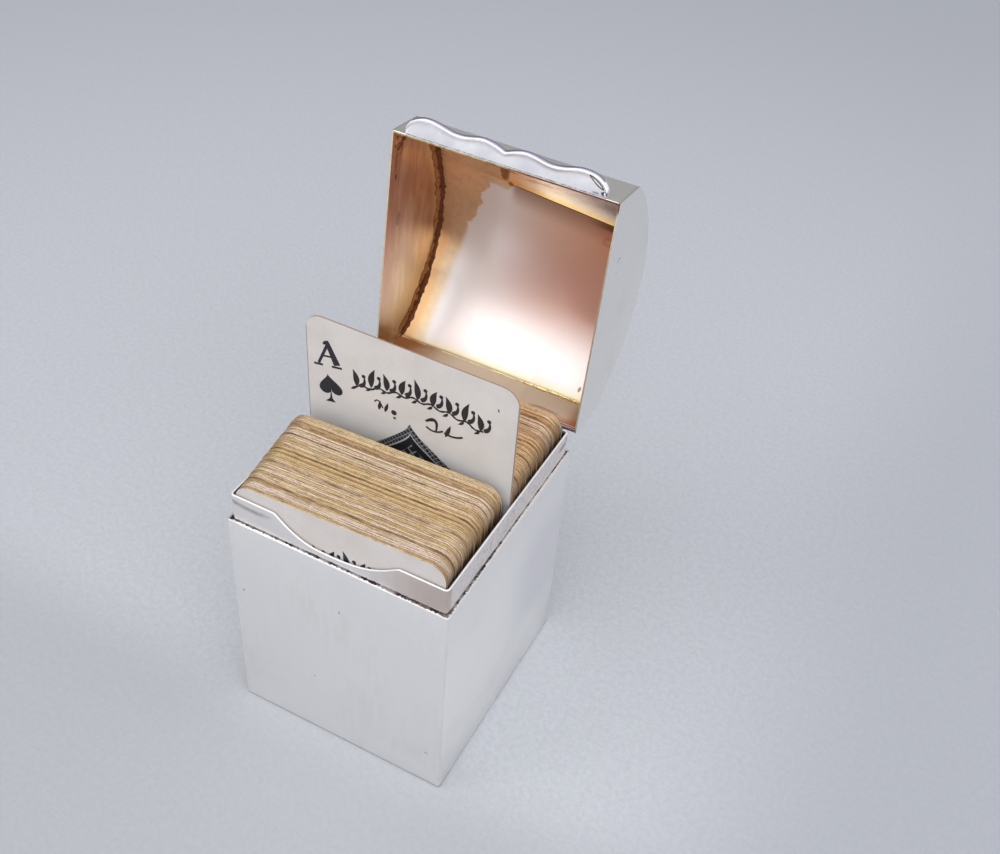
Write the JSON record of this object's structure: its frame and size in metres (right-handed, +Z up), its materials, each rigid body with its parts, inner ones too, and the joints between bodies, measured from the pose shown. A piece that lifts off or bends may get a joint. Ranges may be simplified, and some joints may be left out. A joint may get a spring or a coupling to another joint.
{
  "type": "playing card box",
  "caption": "Small silver box with a vaulted hinged lid, a scalloped thumbpiece and two packs of miniature playing cards.",
  "frame": {"origin": "middle of the case's underside, on the surface that it stands on", "axes": "+Z up, +Y towards the hinge at the back, +X to the right seen from the front; the lid stands open at rest"},
  "size_m": [0.0336, 0.0556, 0.0789],
  "materials": {
    "silver": "worn satin-polished silver, with a warm tinge",
    "bright_silver": "polished silver, rounded edge",
    "pin_silver": "dull silver wire, peened ends",
    "silver_gilt_inside": "satin silver outside, worn gilding inside",
    "card_stock": "off-white card with worn gilt edges",
    "card_face": "smooth off-white card, printed in black"
  },
  "bodies": {
    "case": {"case_walls": "silver", "base_plate": "silver", "collar": "silver", "case_hinge_leaf": "silver", "case_knuckle_1": "silver", "case_knuckle_2": "silver", "case_knuckle_3": "silver", "hinge_pin": "pin_silver", "front_spades": "card_stock", "front_hearts": "card_stock", "front_diamonds": "card_stock", "front_clubs": "card_stock", "rear_spades": "card_stock", "rear_hearts": "card_stock", "rear_diamonds": "card_stock", "rear_clubs": "card_stock", "rear_joker": "card_stock"},
    "lid": {"lid_cover": "silver_gilt_inside", "lid_left_end": "silver_gilt_inside", "lid_right_end": "silver_gilt_inside", "lid_hinge_leaf": "silver", "lid_knuckle_1": "silver", "lid_knuckle_2": "silver", "thumbpiece": "bright_silver"},
    "drawn_card": {"drawn_card": "card_face"}
  },
  "joints": [
    {"name": "lid_hinge", "type": "hinge", "parent": "case", "child": "lid", "pos_m": [0, 0.01952, 0.03874], "axis": [1, 0, 0], "range_deg": [0, 97.2]},
    {"name": "drawn_card_slide", "type": "slide", "parent": "case", "child": "drawn_card", "axis": [0, 0, -1], "range_m": [0, 0.0159]}
  ],
  "couplings": [
    {"joint": "drawn_card_slide", "follows": "lid_hinge", "m_per_rad": 0.00937}
  ]
}
